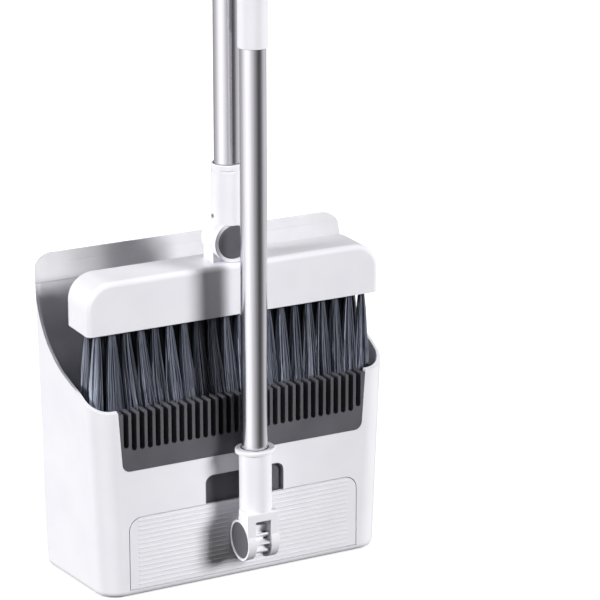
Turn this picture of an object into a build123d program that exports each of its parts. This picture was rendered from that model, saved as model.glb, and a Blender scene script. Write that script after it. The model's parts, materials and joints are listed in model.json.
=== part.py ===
"""Long-handled dustpan and broom, stored upright as one set.

The pan stands on its rear wall with its mouth up, and the broom stands in it.  X runs to the
right, Y to the back and Z up.  The origin is the middle of the base face.  Millimetres.
"""

import os

from build123d import *

os.makedirs("parts", exist_ok=True)

# ---- driving dimensions ------------------------------------------------------------------

POLE_D = 22.0  # steel tube of both handles
POLE_WALL = 0.8
MOUTH_GAP = 0.9  # open ring round the pole at a socket's mouth
MOUTH_DEEP = 2.0
PRESS = 0.02  # radial gap of a press fit
INNER_D = 18.6  # thin telescoping tube of the broom
SLIP = 0.05  # radial gap of a bore round the part it holds
SCREW_D = 3.0  # shank of the yoke and plate screws
SOCKET_SCREW_D = 2.4

BOLT_D = 6.0  # hinge bolt and tilt bolt
HEX_HALF = 5.0  # half the width across the flats
HEX_HEAD = 2.8
HEX_NUT = 2.6
HEX_WELL_R = 5.9  # round well for a bolt head or nut

PAN_DEPTH = 102.0
ROOF_HALF_BASE = 128.5  # half the width of the roof side, at the base and at the lip
ROOF_HALF_LIP = 141.5
FLOOR_HALF_BASE = 139.4  # half the width of the floor side, at the base and at the lip
FLOOR_HALF_LIP = 144.5
PAN_HEIGHT = 275.0
WALL = 2.5
ROOF_WALL = 4.0
ROOF_CORNER = 20.0
BACK_CORNER = 7.0
BASE_ROUND = 6.0

ROOF_Y = -PAN_DEPTH / 2
FLOOR_Y = PAN_DEPTH / 2
ROOF_IN_Y = ROOF_Y + ROOF_WALL
FLOOR_IN_Y = FLOOR_Y - WALL

LIP_HEIGHT = 24.0
LIP_ROUND = 18.0
LIP_Z = PAN_HEIGHT - LIP_HEIGHT

COMB_HALF_BOTTOM = 111.0
COMB_HALF_TOP = 114.3
COMB_BOTTOM = 111.5
COMB_TOP = 162.0
COMB_THICK = 12.0
SLOTS = 31
SLOT_PITCH = 7.2
COMB_CORNER = 7.0
COMB_GAP = 0.3
SLOT_W = 4.6
SLOT_BOTTOM = 129.0
END_SLOT_LIFT = 3.0

PLATE_HALF = 106.3
PLATE_BOTTOM = 2.5
PLATE_TOP = 69.5
PLATE_DEEP = 1.8
PLATE_LIFT = 4.0  # keeps the plate clear of the rounded base edge
PLATE_CORNER = 11.0
SEAM = 0.7  # open seam round the step plate
RIB_PITCH = 4.0
RIB_WIDTH = 1.1
RIB_HEIGHT = 0.3
RIB_MARGIN = 8.0  # plain border of the ribbed field

WINDOW_HALF = 36.5
WINDOW_TOP = 95.0
WINDOW_CORNER = 7.0
WINDOW_GAP = 0.15
WINDOW_RIM = 1.2

FOOT_WIDTH = 13.2  # foot of the hinge hub, where it seats on the roof
FOOT_HEIGHT = 28.0
FOOT_THICK = 4.0

HANDLE_Y = ROOF_Y - 18.2  # axis of the dustpan pole
HINGE_Z = 40.0
EAR_R = 17.4
HUB_SCREW_X = -2.0
HUB_SCREW_RISE = 7.0  # screws above and below the hinge axis
HUB_SCREW_D = 3.9
EAR_IN = 6.9
EAR_OUT = 14.3
CAP_R = 15.5

BROOM_Y = HANDLE_Y + 46.5  # axis of the broom pole
TILT_Z = 288.0
DRUM_R = 17.3
DRUM_FRONT = BROOM_Y - 11.4
DRUM_BACK = BROOM_Y - 3.8
TILT_EAR_R = 17.2
TILT_EAR_FRONT = DRUM_BACK + 0.4
TILT_EAR_BACK = BROOM_Y + 14.6
SOCKET_R = 13.5

BLOCK_HALF = 134.0
BLOCK_FRONT = BROOM_Y - 15.0
BLOCK_BACK = BROOM_Y + 27.0
BLOCK_Z = 226.8
BLOCK_TOP = 270.4
BLOCK_CORNER = 22.0
BLOCK_EDGE = 4.5
BLOCK_WALL = 3.0
BRISTLE_TIP_Z = 131.0

YOKE_TOP = 121.0
PAN_COUPLER = (458.6, 505.6)  # bottom and top of the white sleeve
PAN_GRIP_Z = 804.0
BROOM_SOCKET_TOP = 353.5
BROOM_COUPLER = (656.0, 702.0)
COLLAR = (806.0, 828.0)
BROOM_GRIP = (1009.0, 1168.0)
COUPLER_R = 12.1
YOKE_SCREW_Z = 98.0
SOCKET_SCREW_Z = 309.6
PLATE_SCREW_X = 78.0


def pan_half(y, z):
    """Half the outer width of the pan; it widens from the base up and from the roof back."""
    roof_half = ROOF_HALF_BASE + (ROOF_HALF_LIP - ROOF_HALF_BASE) * z / PAN_HEIGHT
    floor_half = FLOOR_HALF_BASE + (FLOOR_HALF_LIP - FLOOR_HALF_BASE) * z / PAN_HEIGHT
    return roof_half + (floor_half - roof_half) * (y - ROOF_Y) / PAN_DEPTH


def pan_section(z, side=0.0, roof=0.0, floor=0.0):
    """Rounded outline of the pan at height z, drawn in by the given wall thicknesses."""
    front = ROOF_Y + roof
    back = FLOOR_Y - floor
    front_half = pan_half(front, z) - side
    back_half = pan_half(back, z) - side
    with BuildSketch(Plane((0, 0, z))) as section:
        with BuildLine():
            Polyline(
                (-front_half, front),
                (front_half, front),
                (back_half, back),
                (-back_half, back),
                close=True,
            )
        make_face()
        fillet(section.vertices().group_by(Axis.Y)[0], ROOF_CORNER - side)
        fillet(section.vertices().group_by(Axis.Y)[-1], BACK_CORNER - side)
    return section.sketch


def tube(bottom, top, axis_y, outer_d, wall):
    """Straight upright tube on the plane x = 0."""
    with BuildPart() as made:
        with BuildSketch(Plane((0, axis_y, bottom))):
            Circle(outer_d / 2)
            Circle(outer_d / 2 - wall, mode=Mode.SUBTRACT)
        extrude(amount=top - bottom)
    return made


def front_face(y):
    """Sketch plane facing the front at the given y; its own Y axis points up."""
    return Plane((0, y, 0), x_dir=(1, 0, 0), z_dir=(0, -1, 0))


def side_face(x, y, z, facing=1):
    """Sketch plane square to X with its origin at the point; its own X axis points back."""
    return Plane((x, y, z), x_dir=(0, 1, 0), z_dir=(facing, 0, 0))


def comb_outline(bottom, top, gap):
    """Tapered outline of the comb between two heights, grown by gap at the ends."""
    slope = (COMB_HALF_TOP - COMB_HALF_BOTTOM) / (COMB_TOP - COMB_BOTTOM)
    low_half = COMB_HALF_BOTTOM + slope * (bottom - COMB_BOTTOM) + gap
    high_half = COMB_HALF_BOTTOM + slope * (top - COMB_BOTTOM) + gap
    with BuildSketch() as outline:
        with BuildLine():
            Polyline(
                (-low_half, bottom),
                (low_half, bottom),
                (high_half, top),
                (-high_half, top),
                close=True,
            )
        make_face()
        fillet(outline.vertices().group_by(Axis.Y)[0], COMB_CORNER + gap)
    return outline.sketch


def disc(x_dir, normal, centre, radius, bore, thick, edge):
    """Round disc with an optional bore, its far rim rounded."""
    with BuildPart() as made:
        with BuildSketch(Plane(centre, x_dir=x_dir, z_dir=normal)):
            Circle(radius)
            if bore > 0:
                Circle(bore, mode=Mode.SUBTRACT)
        extrude(amount=thick)
        if edge > 0:
            far = made.faces().filter_by(GeomType.PLANE).sort_by(Axis(centre, normal))[-1]
            fillet(far.edges().sort_by(SortBy.RADIUS)[-1], edge)
    return made


def screw(centre, direction, x_dir, shank_d, length, head_d, head_h):
    """Pan-head screw: the head stands on the plane at centre, the shank runs along direction."""
    with BuildPart() as made:
        with BuildSketch(Plane(centre, x_dir=x_dir, z_dir=direction)):
            Circle(shank_d / 2)
        extrude(amount=length)
        with BuildSketch(Plane(centre, x_dir=x_dir, z_dir=direction)):
            Circle(head_d / 2)
        extrude(amount=-head_h)
        head_face = made.faces().filter_by(GeomType.PLANE).sort_by(Axis(centre, direction))[0]
        fillet(head_face.edges(), head_h * 0.4)
        with BuildSketch(Plane(head_face.center(), x_dir=x_dir, z_dir=direction)):
            Rectangle(head_d * 0.55, head_d * 0.14)
            Rectangle(head_d * 0.14, head_d * 0.55)
        extrude(amount=head_h * 0.5, mode=Mode.SUBTRACT)
    return made


# ---- pan ----------------------------------------------------------------------------------

with BuildPart() as pan_body:
    loft(sections=[pan_section(0).face(), pan_section(PAN_HEIGHT).face()])
    fillet(pan_body.faces().sort_by(Axis.Z)[0].edges(), BASE_ROUND)

with BuildPart() as pan_cavity:
    loft(
        sections=[
            pan_section(WALL, WALL, ROOF_WALL, WALL).face(),
            pan_section(PAN_HEIGHT + 5, WALL, ROOF_WALL, WALL).face(),
        ]
    )
    fillet(pan_cavity.faces().sort_by(Axis.Z)[0].edges(), BASE_ROUND - WALL)

HUB_SCREWS = [(HUB_SCREW_X, HINGE_Z + rise) for rise in (-HUB_SCREW_RISE, HUB_SCREW_RISE)]

# Side-wall rim: low at the comb, then sweeping back and up to the lip.
RIM = [(-62, 161.5), (-48.5, 164), (-28, 174.5), (1, 185), (30, 206.5), (44, 234), (48.2, 258)]

TONGUE_HALF = 118.0
TONGUE = (49.0, 50.2)
TONGUE_TOP = LIP_Z + 15

with BuildPart() as pan_shell:
    add(pan_body.part)
    add(pan_cavity.part, mode=Mode.SUBTRACT)
    with BuildSketch(Plane.YZ):
        with BuildLine():
            rim = Spline(*RIM)
            Polyline(rim @ 1, (48.2, 300), (-80, 300), (-80, 161.5), rim @ 0)
        make_face()
    extrude(amount=FLOOR_HALF_LIP + 10, both=True, mode=Mode.SUBTRACT)
    # The floor's edge steps down to a thin tongue that carries the lip strip.
    with BuildSketch(Plane((0, FLOOR_Y, LIP_Z))):
        Rectangle(2 * FLOOR_HALF_LIP + 20, 20)
    extrude(amount=40, mode=Mode.SUBTRACT)
    with BuildSketch(Plane((0, sum(TONGUE) / 2, LIP_Z - 1))):
        Rectangle(2 * TONGUE_HALF, TONGUE[1] - TONGUE[0])
    extrude(amount=TONGUE_TOP - LIP_Z + 1)
    # Notch for the comb.
    with BuildSketch(front_face(ROOF_Y - 1)):
        add(comb_outline(COMB_BOTTOM - COMB_GAP, COMB_TOP + 30, COMB_GAP))
    extrude(amount=-ROOF_WALL - 4, mode=Mode.SUBTRACT)
    # Shallow recess for the step plate.
    with BuildSketch(front_face(ROOF_Y)) as recess:
        with Locations((0, PLATE_BOTTOM - SEAM + PLATE_LIFT)):
            Rectangle(
                2 * (PLATE_HALF + SEAM),
                PLATE_TOP - PLATE_BOTTOM + 2 * SEAM - PLATE_LIFT,
                align=(Align.CENTER, Align.MIN),
            )
        fillet(recess.vertices().group_by(Axis.Y)[-1], PLATE_CORNER + SEAM)
    extrude(amount=-PLATE_DEEP, mode=Mode.SUBTRACT)
    # Opening for the dark window insert.
    with BuildSketch(front_face(ROOF_Y - 1)) as opening:
        with Locations((0, PLATE_TOP + SEAM)):
            Rectangle(
                2 * WINDOW_HALF,
                WINDOW_TOP - PLATE_TOP - SEAM,
                align=(Align.CENTER, Align.MIN),
            )
        fillet(opening.vertices().group_by(Axis.Y)[-1], WINDOW_CORNER)
    extrude(amount=-ROOF_WALL - 4, mode=Mode.SUBTRACT)
    # Clearance holes for the hub screws.
    with BuildSketch(front_face(ROOF_Y)):
        with Locations(*HUB_SCREWS):
            Circle(HUB_SCREW_D / 2 + 0.25)
    extrude(amount=-ROOF_WALL - 1, mode=Mode.SUBTRACT)
pan_shell.part.label = "pan_shell"
export_step(pan_shell.part, "parts/pan_shell.step")

with BuildPart() as lip_strip:
    # Outline seen from the front, with rounded upper corners.
    with BuildSketch(front_face(FLOOR_Y)) as outline:
        with Locations((0, LIP_Z + 0.1)):
            Rectangle(2 * FLOOR_HALF_LIP, LIP_HEIGHT - 0.1, align=(Align.CENTER, Align.MIN))
        fillet(outline.vertices().group_by(Axis.Y)[-1], LIP_ROUND)
    extrude(amount=8)
    # Ramp section: thick where it meets the floor, thin at the edge.
    with BuildSketch(Plane.YZ):
        with BuildLine():
            Polyline(
                (FLOOR_Y, LIP_Z),
                (46.6, LIP_Z),
                (46.9, LIP_Z + 3),
                (FLOOR_Y - 0.9, PAN_HEIGHT - 0.4),
                (FLOOR_Y - 0.4, PAN_HEIGHT),
                (FLOOR_Y, PAN_HEIGHT),
                close=True,
            )
        make_face()
    extrude(amount=FLOOR_HALF_LIP + 5, both=True, mode=Mode.INTERSECT)
    add(pan_body.part, mode=Mode.INTERSECT)
    with BuildSketch(Plane((0, sum(TONGUE) / 2, LIP_Z - 1))):
        Rectangle(2 * TONGUE_HALF + 0.4, TONGUE[1] - TONGUE[0] + 0.1)
    extrude(amount=TONGUE_TOP - LIP_Z + 1.1, mode=Mode.SUBTRACT)
lip_strip.part.label = "lip_strip"
export_step(lip_strip.part, "parts/lip_strip.step")

with BuildPart() as comb:
    with BuildSketch(front_face(ROOF_Y)):
        add(comb_outline(COMB_BOTTOM, COMB_TOP, 0))
    extrude(amount=-COMB_THICK)
    # Slots between the teeth, round at the bottom; the two end slots are shorter.
    with BuildSketch(front_face(ROOF_Y - 1)):
        for number in range(SLOTS):
            x = (number - (SLOTS - 1) / 2) * SLOT_PITCH
            bottom = SLOT_BOTTOM + SLOT_W / 2
            if number in (0, SLOTS - 1):
                bottom += END_SLOT_LIFT
            with Locations((x, bottom)):
                Circle(SLOT_W / 2)
                Rectangle(SLOT_W, 60, align=(Align.CENTER, Align.MIN))
    extrude(amount=-COMB_THICK - 4, mode=Mode.SUBTRACT)
    # Flange that grips the inner face of the roof.
    with BuildSketch(front_face(ROOF_IN_Y + SLIP)):
        with Locations((0, COMB_BOTTOM - 10)):
            Rectangle(2 * COMB_HALF_BOTTOM - 4, 24, align=(Align.CENTER, Align.MIN))
    extrude(amount=-2.4)
comb.part.label = "comb"
export_step(comb.part, "parts/comb.step")

with BuildPart() as step_plate:
    with BuildSketch(front_face(ROOF_Y)) as plate:
        with Locations((0, PLATE_BOTTOM + PLATE_LIFT)):
            Rectangle(
                2 * PLATE_HALF,
                PLATE_TOP - PLATE_BOTTOM - PLATE_LIFT,
                align=(Align.CENTER, Align.MIN),
            )
        fillet(plate.vertices().group_by(Axis.Y)[-1], PLATE_CORNER)
        # Cut-out for the foot of the hinge hub.
        with Locations((0, HINGE_Z)):
            Rectangle(FOOT_WIDTH + 0.6, FOOT_HEIGHT + 0.8, mode=Mode.SUBTRACT)
    extrude(amount=-PLATE_DEEP + SLIP)
    # Fine anti-slip ribs.
    with BuildSketch(front_face(ROOF_Y)):
        ribs = int((PLATE_TOP - 3 - PLATE_BOTTOM - RIB_MARGIN) / RIB_PITCH) + 1
        for number in range(ribs):
            with Locations((0, PLATE_BOTTOM + RIB_MARGIN + number * RIB_PITCH)):
                Rectangle(2 * (PLATE_HALF - RIB_MARGIN), RIB_WIDTH)
        with Locations((0, HINGE_Z)):
            Rectangle(2 * EAR_OUT + 3, 2 * EAR_R, mode=Mode.SUBTRACT)
    extrude(amount=RIB_HEIGHT)
step_plate.part.label = "step_plate"
export_step(step_plate.part, "parts/step_plate.step")

with BuildPart() as window_insert:
    window_height = WINDOW_TOP - PLATE_TOP - SEAM
    window_bottom = PLATE_TOP + SEAM
    with BuildSketch(front_face(ROOF_Y + 0.6)) as tray:
        with Locations((0, window_bottom + WINDOW_GAP)):
            Rectangle(
                2 * (WINDOW_HALF - WINDOW_GAP),
                window_height - 2 * WINDOW_GAP,
                align=(Align.CENTER, Align.MIN),
            )
        fillet(tray.vertices().group_by(Axis.Y)[-1], WINDOW_CORNER - WINDOW_GAP)
    extrude(amount=-ROOF_WALL - 0.8)
    with BuildSketch(front_face(ROOF_Y)) as pocket:
        with Locations((0, window_bottom + WINDOW_RIM / 2)):
            Rectangle(
                2 * (WINDOW_HALF - WINDOW_RIM),
                window_height - 1.5 * WINDOW_RIM,
                align=(Align.CENTER, Align.MIN),
            )
        fillet(pocket.vertices().group_by(Axis.Y)[-1], WINDOW_CORNER - WINDOW_RIM)
    extrude(amount=-3.2, mode=Mode.SUBTRACT)
    # Flange behind the roof.
    with BuildSketch(front_face(ROOF_IN_Y + SLIP)):
        with Locations((0, window_bottom - 4)):
            Rectangle(2 * WINDOW_HALF + 8, window_height + 8, align=(Align.CENTER, Align.MIN))
    extrude(amount=-1.4)
window_insert.part.label = "window_insert"
export_step(window_insert.part, "parts/window_insert.step")

# ---- hinge of the dustpan handle -------------------------------------------------------------

HUB_R = 15.5
HUB_ROOT = 10.5
HUB_TEETH = 12
HUB_LEFT = -6.6
HUB_RIGHT = 2.6
TOOTH_RIGHT = 6.6  # the teeth reach past the hub's right face
TOOTH_WIDTH = 3.8
DISC_R = 9.3
FOOT_Y = ROOF_Y + PLATE_DEEP  # bottom of the step-plate recess
NECK_HEIGHT = 24.0

with BuildPart() as hinge_hub:
    with BuildSketch(side_face(HUB_LEFT, HANDLE_Y, HINGE_Z)):
        Circle(HUB_ROOT)
    extrude(amount=HUB_RIGHT - HUB_LEFT)
    with BuildSketch(side_face(HUB_LEFT, HANDLE_Y, HINGE_Z)):
        with PolarLocations(0, HUB_TEETH, start_angle=180):
            with Locations(((HUB_ROOT + HUB_R) / 2 - 0.5, 0)):
                Trapezoid(TOOTH_WIDTH, HUB_R - HUB_ROOT + 1, 80, rotation=-90)
    extrude(amount=TOOTH_RIGHT - HUB_LEFT)
    # Neck back to the roof, and the foot that seats on it.
    with BuildSketch(side_face(HUB_LEFT, HANDLE_Y, HINGE_Z)):
        Rectangle(FOOT_Y - SLIP - HANDLE_Y, NECK_HEIGHT, align=(Align.MIN, Align.CENTER))
    extrude(amount=HUB_RIGHT - HUB_LEFT)
    with BuildSketch(side_face(HUB_LEFT, FOOT_Y - FOOT_THICK, HINGE_Z)):
        Rectangle(FOOT_THICK - SLIP, FOOT_HEIGHT, align=(Align.MIN, Align.CENTER))
    extrude(amount=FOOT_WIDTH)
    with BuildSketch(side_face(HUB_LEFT - 1, HANDLE_Y, HINGE_Z)):
        Circle(BOLT_D / 2 + SLIP)
    extrude(amount=20, mode=Mode.SUBTRACT)
    with BuildSketch(front_face(ROOF_Y + 5)):
        with Locations(*HUB_SCREWS):
            Circle(HUB_SCREW_D / 2 + SLIP)
    extrude(amount=16, mode=Mode.SUBTRACT)
hinge_hub.part.label = "hinge_hub"
export_step(hinge_hub.part, "parts/hinge_hub.step")

with BuildPart() as hub_screws:
    for x, z in HUB_SCREWS:
        seat = (x, ROOF_IN_Y + SLIP, z)
        add(screw(seat, (0, -1, 0), (1, 0, 0), HUB_SCREW_D, 12, 8, 2.4).part)
hub_screws.part.label = "hub_screws"
export_step(hub_screws.part, "parts/hub_screws.step")

EAR_TOP = 68.0
EAR_BLOCK = (-15.8, 1.5)  # front and back of the block above the ears, from the axis
WEB_Z = 60.0  # underside of the socket, above the gap between the ears
YOKE_BORE_Z = 78.0
YOKE_R = 13.0
YOKE_FLANGE = (17.2, 15.2, 3.2)  # half width, half depth and thickness
CAP_SEAT = 2.4
BOLT_SEAT = 3.2

with BuildPart() as hinge_yoke:
    with BuildSketch(side_face(-EAR_OUT, HANDLE_Y, HINGE_Z)):
        Circle(EAR_R)
        with Locations((EAR_BLOCK[0], 0)):
            Rectangle(
                EAR_BLOCK[1] - EAR_BLOCK[0], EAR_TOP - HINGE_Z, align=(Align.MIN, Align.MIN)
            )
    extrude(amount=2 * EAR_OUT)
    fillet(hinge_yoke.faces().sort_by(Axis.Z)[-1].edges(), 2)
    # Rounded socket, fuller at the front.
    with BuildSketch(Plane((0, HANDLE_Y, WEB_Z - 1))):
        with Locations((0, 0), (0, -2.5)):
            Circle(YOKE_R)
        with Locations((0, -1.25)):
            Rectangle(2 * YOKE_R, 2.5)
    extrude(amount=YOKE_TOP - WEB_Z + 1)
    with BuildSketch(Plane((0, HANDLE_Y - 0.8, YOKE_TOP - YOKE_FLANGE[2]))):
        Ellipse(YOKE_FLANGE[0], YOKE_FLANGE[1])
    extrude(amount=YOKE_FLANGE[2])
    fillet(hinge_yoke.faces().sort_by(Axis.Z)[-1].edges(), 1.2)
    # Gap between the ears.
    with BuildSketch(side_face(-EAR_IN, HANDLE_Y, WEB_Z)):
        Rectangle(60, 60, align=(Align.CENTER, Align.MAX))
    extrude(amount=2 * EAR_IN, mode=Mode.SUBTRACT)
    # Bore for the pole, wider at the mouth.
    with BuildSketch(Plane((0, HANDLE_Y, YOKE_BORE_Z))):
        Circle(POLE_D / 2 + SLIP)
    extrude(amount=60, mode=Mode.SUBTRACT)
    with BuildSketch(Plane((0, HANDLE_Y, YOKE_TOP - MOUTH_DEEP))):
        Circle(POLE_D / 2 + MOUTH_GAP)
    extrude(amount=MOUTH_DEEP + 1, mode=Mode.SUBTRACT)
    # Seats for the caps, the bolt head and the nut.
    for side in (-1, 1):
        seat = side_face(side * EAR_OUT, HANDLE_Y, HINGE_Z, side)
        with BuildSketch(seat):
            Circle(CAP_R + SLIP)
        extrude(amount=-CAP_SEAT, mode=Mode.SUBTRACT)
        with BuildSketch(seat):
            Circle(HEX_WELL_R)
        extrude(amount=-CAP_SEAT - BOLT_SEAT, mode=Mode.SUBTRACT)
        with BuildSketch(seat):
            Circle(BOLT_D / 2 + PRESS)
        extrude(amount=-EAR_OUT, mode=Mode.SUBTRACT)
    # Hole for the pole screw, from behind.
    with BuildSketch(front_face(HANDLE_Y + 20)):
        with Locations((0, YOKE_SCREW_Z)):
            Circle(SCREW_D / 2 + SLIP)
    extrude(amount=20, mode=Mode.SUBTRACT)
hinge_yoke.part.label = "hinge_yoke"
export_step(hinge_yoke.part, "parts/hinge_yoke.step")

CAP_THICK = 1.9
left_seat = (-EAR_OUT + CAP_SEAT - SLIP, HANDLE_Y, HINGE_Z)
yoke_cap_left = disc((0, 1, 0), (-1, 0, 0), left_seat, CAP_R, 0, CAP_THICK, 0.8)
yoke_cap_left.part.label = "yoke_cap_left"
export_step(yoke_cap_left.part, "parts/yoke_cap_left.step")

right_seat = (EAR_OUT - CAP_SEAT + SLIP, HANDLE_Y, HINGE_Z)
yoke_cap_right = disc((0, 1, 0), (1, 0, 0), right_seat, CAP_R, 0, CAP_THICK, 0.8)
yoke_cap_right.part.label = "yoke_cap_right"
export_step(yoke_cap_right.part, "parts/yoke_cap_right.step")

BOLT_FACE = EAR_OUT - CAP_SEAT - BOLT_SEAT  # where the bolt head and the nut bear

with BuildPart() as hinge_bolt:
    with BuildSketch(side_face(-BOLT_FACE, HANDLE_Y, HINGE_Z)):
        Circle(BOLT_D / 2)
    extrude(amount=2 * BOLT_FACE + HEX_HEAD)
    with BuildSketch(side_face(-BOLT_FACE, HANDLE_Y, HINGE_Z, -1)):
        RegularPolygon(HEX_HALF, 6, major_radius=False)
    extrude(amount=HEX_HEAD)
hinge_bolt.part.label = "hinge_bolt"
export_step(hinge_bolt.part, "parts/hinge_bolt.step")

with BuildPart() as hinge_nut:
    with BuildSketch(side_face(BOLT_FACE, HANDLE_Y, HINGE_Z)):
        RegularPolygon(HEX_HALF, 6, major_radius=False)
        Circle(BOLT_D / 2 + PRESS, mode=Mode.SUBTRACT)
    extrude(amount=HEX_NUT)
hinge_nut.part.label = "hinge_nut"
export_step(hinge_nut.part, "parts/hinge_nut.step")

disc_centre = (HUB_RIGHT + 0.4, HANDLE_Y, HINGE_Z)
friction_disc = disc((0, 1, 0), (1, 0, 0), disc_centre, DISC_R, BOLT_D / 2 + PRESS, 3.8, 0.4)
friction_disc.part.label = "friction_disc"
export_step(friction_disc.part, "parts/friction_disc.step")

# ---- dustpan pole and grip ---------------------------------------------------------------------

with BuildPart() as yoke_screw:
    centre = (0, HANDLE_Y + YOKE_R + SLIP, YOKE_SCREW_Z)
    add(screw(centre, (0, -1, 0), (1, 0, 0), SCREW_D, 6, 5.6, 1.8).part)
yoke_screw.part.label = "yoke_screw"
export_step(yoke_screw.part, "parts/yoke_screw.step")

pan_joint_z = sum(PAN_COUPLER) / 2

with BuildPart() as pan_pole_lower:
    add(tube(YOKE_BORE_Z + 0.1, pan_joint_z - 0.6, HANDLE_Y, POLE_D, POLE_WALL).part)
    with BuildSketch(front_face(HANDLE_Y + 20)):
        with Locations((0, YOKE_SCREW_Z)):
            Circle(SCREW_D / 2 + SLIP)
    extrude(amount=20, mode=Mode.SUBTRACT)
pan_pole_lower.part.label = "pan_pole_lower"
export_step(pan_pole_lower.part, "parts/pan_pole_lower.step")


def coupler_sleeve(span, axis_y):
    """White sleeve over the joint of two tubes, its rims rounded."""
    with BuildPart() as made:
        with BuildSketch(Plane((0, axis_y, span[0]))):
            Circle(COUPLER_R)
        extrude(amount=span[1] - span[0])
        fillet(made.edges().filter_by(GeomType.CIRCLE), 0.6)
        with BuildSketch(Plane((0, axis_y, span[0] - 1))):
            Circle(POLE_D / 2 + PRESS)
        extrude(amount=span[1] - span[0] + 2, mode=Mode.SUBTRACT)
    return made


pan_coupler = coupler_sleeve(PAN_COUPLER, HANDLE_Y)
pan_coupler.part.label = "pan_coupler"
export_step(pan_coupler.part, "parts/pan_coupler.step")

STUD_HALF = 34.0  # reach of the stud into each tube

with BuildPart() as coupler_stud:
    with BuildSketch(Plane((0, HANDLE_Y, pan_joint_z - STUD_HALF))):
        Circle(POLE_D / 2 - POLE_WALL - SLIP)
    extrude(amount=2 * STUD_HALF)
    chamfer(coupler_stud.edges().filter_by(GeomType.CIRCLE), 1.5)
    with BuildSketch(Plane((0, HANDLE_Y, pan_joint_z - 0.5))):
        Circle(POLE_D / 2)
    extrude(amount=1)
    with BuildSketch(Plane((0, HANDLE_Y, pan_joint_z - STUD_HALF - 1))):
        Circle(6)
    extrude(amount=2 * STUD_HALF + 2, mode=Mode.SUBTRACT)
coupler_stud.part.label = "coupler_stud"
export_step(coupler_stud.part, "parts/coupler_stud.step")

POLE_TOP = 866.0
pan_pole_upper = tube(pan_joint_z + 0.6, POLE_TOP, HANDLE_Y, POLE_D, POLE_WALL)
pan_pole_upper.part.label = "pan_pole_upper"
export_step(pan_pole_upper.part, "parts/pan_pole_upper.step")

GRIP_R = 13.5
GRIP_BODY_HALF = 12.6
GRIP_PAD_HALF = 13.2
GRIP_EDGE = 5.0
GRIP_CORNER = 6.0  # rounding of the elbow's back and of the tip, seen from the side
GRIP_BEND = 14.0  # rounding of the gentle bends

# Side view of the handle with its pad, as distances back from the pole axis and heights.
GRIP_OUTLINE = [
    (GRIP_R, PAN_GRIP_Z),
    (GRIP_R, 886),
    (-8, 887.5),
    (-30, 897),
    (-62, 914.5),
    (-84, 918),
    (-118, 929),
    (-117, 908),
    (-62, 882),
    (-34, 868),
    (-GRIP_R, 846),
    (-GRIP_R, PAN_GRIP_Z),
]
PAD_UNDER = [(20, 871), (8, 872), (-6, 875), (-30, 887), (-58, 902), (-82, 913), (-130, 929)]


def grip_solid(half):
    """Whole handle, pad included, as a rounded slab between x = -half and half."""
    with BuildPart() as made:
        with BuildSketch(side_face(0, HANDLE_Y, 0)):
            with BuildLine():
                Polyline(*GRIP_OUTLINE, close=True)
            profile = make_face()
            raised = profile.vertices().filter_by(lambda v: v.Y > PAN_GRIP_Z + 1)
            tight = raised.sort_by(Axis.X)[:2] + raised.sort_by(Axis.X)[-1:]
            fillet(tight, GRIP_CORNER)
            fillet([v for v in raised if v not in tight], GRIP_BEND)
        extrude(amount=half, both=True)
        side_edges = made.faces().filter_by(Axis.X).edges()
        fillet(side_edges.filter_by(lambda e: e.center().Z > PAN_GRIP_Z + 1), GRIP_EDGE)
    return made.part


with BuildPart() as pan_grip:
    add(grip_solid(GRIP_BODY_HALF))
    with BuildSketch(side_face(0, HANDLE_Y, 0)):
        with BuildLine():
            seat = Spline(*PAD_UNDER)
            Polyline(seat @ 1, (-140, 960), (40, 960), seat @ 0)
        make_face()
    extrude(amount=40, both=True, mode=Mode.SUBTRACT)
    with BuildSketch(Plane((0, HANDLE_Y, PAN_GRIP_Z - 1))):
        Circle(POLE_D / 2 + SLIP)
    extrude(amount=POLE_TOP - PAN_GRIP_Z + 1.2, mode=Mode.SUBTRACT)
pan_grip.part.label = "pan_grip"
export_step(pan_grip.part, "parts/pan_grip.step")

with BuildPart() as grip_pad:
    add(grip_solid(GRIP_PAD_HALF))
    with BuildSketch(side_face(0, HANDLE_Y, 0)):
        with BuildLine():
            seat = Spline(*PAD_UNDER)
            Polyline(seat @ 1, (-140, 960), (40, 960), seat @ 0)
        make_face()
    extrude(amount=40, both=True, mode=Mode.INTERSECT)
grip_pad.part.label = "grip_pad"
export_step(grip_pad.part, "parts/grip_pad.step")

CLIP = (806.5, 826.5)
CLIP_R = 13.9
CLIP_WALL = 2.3

with BuildPart() as broom_clip:
    with BuildSketch(Plane((0, HANDLE_Y, CLIP[0]))):
        RectangleRounded(
            2 * (GRIP_BODY_HALF + CLIP_WALL), 2 * (GRIP_R + CLIP_WALL), GRIP_EDGE + CLIP_WALL
        )
        with Locations((0, (BROOM_Y - HANDLE_Y) / 2)):
            Rectangle(10, BROOM_Y - HANDLE_Y - 2 * GRIP_R + 1)
        with Locations((0, BROOM_Y - HANDLE_Y)):
            Circle(CLIP_R + CLIP_WALL)
            Circle(CLIP_R, mode=Mode.SUBTRACT)
        RectangleRounded(
            2 * (GRIP_BODY_HALF + SLIP),
            2 * (GRIP_R + SLIP),
            GRIP_EDGE + SLIP,
            mode=Mode.SUBTRACT,
        )
        # Open mouth towards the back.
        with Locations((0, BROOM_Y - HANDLE_Y + 7)):
            Rectangle(60, 30, align=(Align.CENTER, Align.MIN), mode=Mode.SUBTRACT)
    extrude(amount=CLIP[1] - CLIP[0])
broom_clip.part.label = "broom_clip"
export_step(broom_clip.part, "parts/broom_clip.step")

# ---- broom head -------------------------------------------------------------------------------

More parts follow.
